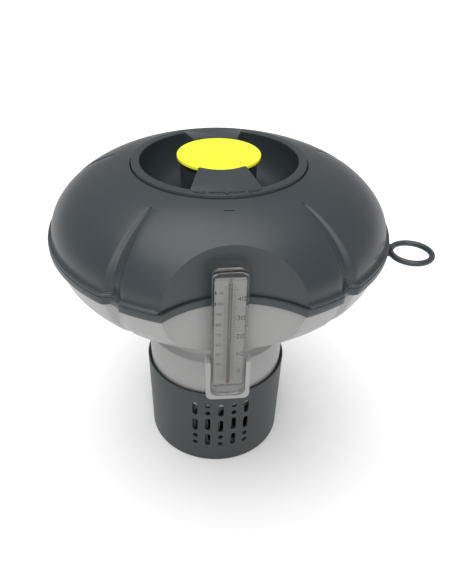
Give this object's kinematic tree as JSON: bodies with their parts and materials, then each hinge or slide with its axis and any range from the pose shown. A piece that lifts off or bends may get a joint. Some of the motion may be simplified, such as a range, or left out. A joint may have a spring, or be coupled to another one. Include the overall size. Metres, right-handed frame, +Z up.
{
  "type": "floating chlorine dispenser",
  "caption": "Lobed pool float with a twist lid and push button, a slotted dosing collar on its neck, a lift-out thermometer and a tether ring.",
  "frame": {"origin": "centre of the flat base, where the dispenser stands on its neck", "axes": "+Z up along the axis of the float, the lid and the collar; the thermometer faces -Y"},
  "size_m": [0.2196, 0.1928, 0.2044],
  "materials": {
    "anthracite_plastic": "satin moulded",
    "dark_collar_plastic": "satin moulded",
    "light_grey_plastic": "satin moulded",
    "yellow_plastic": "satin moulded",
    "seal_rubber": "matt",
    "stainless_steel": "drawn",
    "clear_plastic": "clear",
    "scale_card_plastic": "matt",
    "thermometer_glass": "clear",
    "red_liquid": "liquid"
  },
  "bodies": {
    "float": {"upper_shell": "anthracite_plastic", "rim_band": "anthracite_plastic", "lower_shell": "light_grey_plastic", "neck_tube": "light_grey_plastic", "tablet_chamber": "light_grey_plastic", "chamber_seal": "seal_rubber", "shell_seal": "seal_rubber", "slotted_basket": "dark_collar_plastic", "base_cap": "dark_collar_plastic", "tether_ring": "anthracite_plastic", "thermometer_bracket": "light_grey_plastic"},
    "collar": {"dosing_collar": "dark_collar_plastic"},
    "lid_carrier": {"lid_seal": "seal_rubber"},
    "lid": {"lid_body": "anthracite_plastic", "lid_underplate": "dark_collar_plastic", "lid_screw_1": "stainless_steel", "lid_screw_2": "stainless_steel", "lid_screw_3": "stainless_steel", "lid_screw_4": "stainless_steel", "button_spring": "stainless_steel"},
    "button": {"button_cap": "yellow_plastic", "button_plunger": "dark_collar_plastic"},
    "thermometer": {"thermometer_tube": "clear_plastic", "thermometer_bottom_plug": "clear_plastic", "thermometer_top_plug": "clear_plastic", "scale_card": "scale_card_plastic", "capillary": "thermometer_glass", "liquid_column": "red_liquid"}
  },
  "joints": [
    {"name": "lid_lift", "type": "slide", "parent": "float", "child": "lid_carrier", "axis": [0, 0, 1], "range_m": [0, 0.11]},
    {"name": "lid_twist", "type": "hinge", "parent": "lid_carrier", "child": "lid", "pos_m": [0, 0, 0.1996], "axis": [0, 0, 1], "range_deg": [-40, 0]},
    {"name": "button_press", "type": "slide", "parent": "lid", "child": "button", "axis": [0, 0, -1], "range_m": [0, 0.0024], "stiffness_N_per_m": 900, "springref_m": -0.003, "deforming": ["button_spring"]},
    {"name": "collar_twist", "type": "hinge", "parent": "float", "child": "collar", "pos_m": [0, 0, 0.0312], "axis": [0, 0, 1], "range_deg": [0, 53.5]},
    {"name": "thermometer_lift", "type": "slide", "parent": "float", "child": "thermometer", "axis": [0, 0, 1], "range_m": [0, 0.09]}
  ]
}
